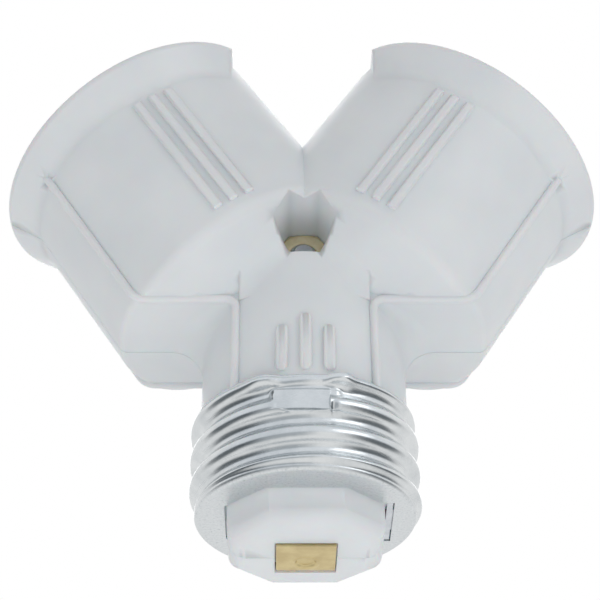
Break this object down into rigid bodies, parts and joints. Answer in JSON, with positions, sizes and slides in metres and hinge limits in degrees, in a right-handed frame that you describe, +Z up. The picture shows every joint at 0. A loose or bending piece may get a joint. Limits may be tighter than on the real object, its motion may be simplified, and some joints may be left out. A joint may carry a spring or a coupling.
{
  "type": "lamp socket adapter",
  "caption": "Y-shaped moulded adapter with a threaded lamp base below and two angled lamp sockets, each with a sprung centre contact.",
  "frame": {"origin": "on the axis of the threaded base, at the underside of the ring that ends its screw shell", "axes": "+Z up along the base axis away from the lamp holder it screws into, X along the line of the two sockets, -Y is the side with the clamp nut"},
  "size_m": [0.074, 0.0382, 0.0669],
  "materials": {
    "white_plastic": "satin moulded plastic, white",
    "bright_nickel": "bright nickel plate on rolled sheet",
    "nickel_strip": "dull nickel plate on brass strip",
    "brass": "plain brass, pressed",
    "spring_bronze": "spring bronze sheet",
    "zinc_steel": "zinc plate"
  },
  "bodies": {
    "body": {"front_shell": "white_plastic", "rear_shell": "white_plastic", "base_screw_shell": "bright_nickel", "base_contact": "brass", "stem_rivet": "brass", "live_strip": "brass", "neutral_strip": "nickel_strip", "socket_liner_left": "bright_nickel", "socket_liner_right": "bright_nickel", "contact_leaf_left": "spring_bronze", "contact_leaf_right": "spring_bronze", "live_rivet_left": "brass", "live_rivet_right": "brass", "neutral_rivet_left": "nickel_strip", "neutral_rivet_right": "nickel_strip", "clamp_screw": "zinc_steel", "clamp_nut": "brass"},
    "contact_left": {"contact_button_left": "brass"},
    "contact_right": {"contact_button_right": "brass"}
  },
  "joints": [
    {"name": "contact_travel_left", "type": "slide", "parent": "body", "child": "contact_left", "axis": [0.5446, 0, -0.8387], "range_m": [0, 0.0012], "stiffness_N_per_m": 2000, "deforming": ["contact_leaf_left"]},
    {"name": "contact_travel_right", "type": "slide", "parent": "body", "child": "contact_right", "axis": [-0.5446, 0, -0.8387], "range_m": [0, 0.0012], "stiffness_N_per_m": 2000, "deforming": ["contact_leaf_right"]}
  ]
}
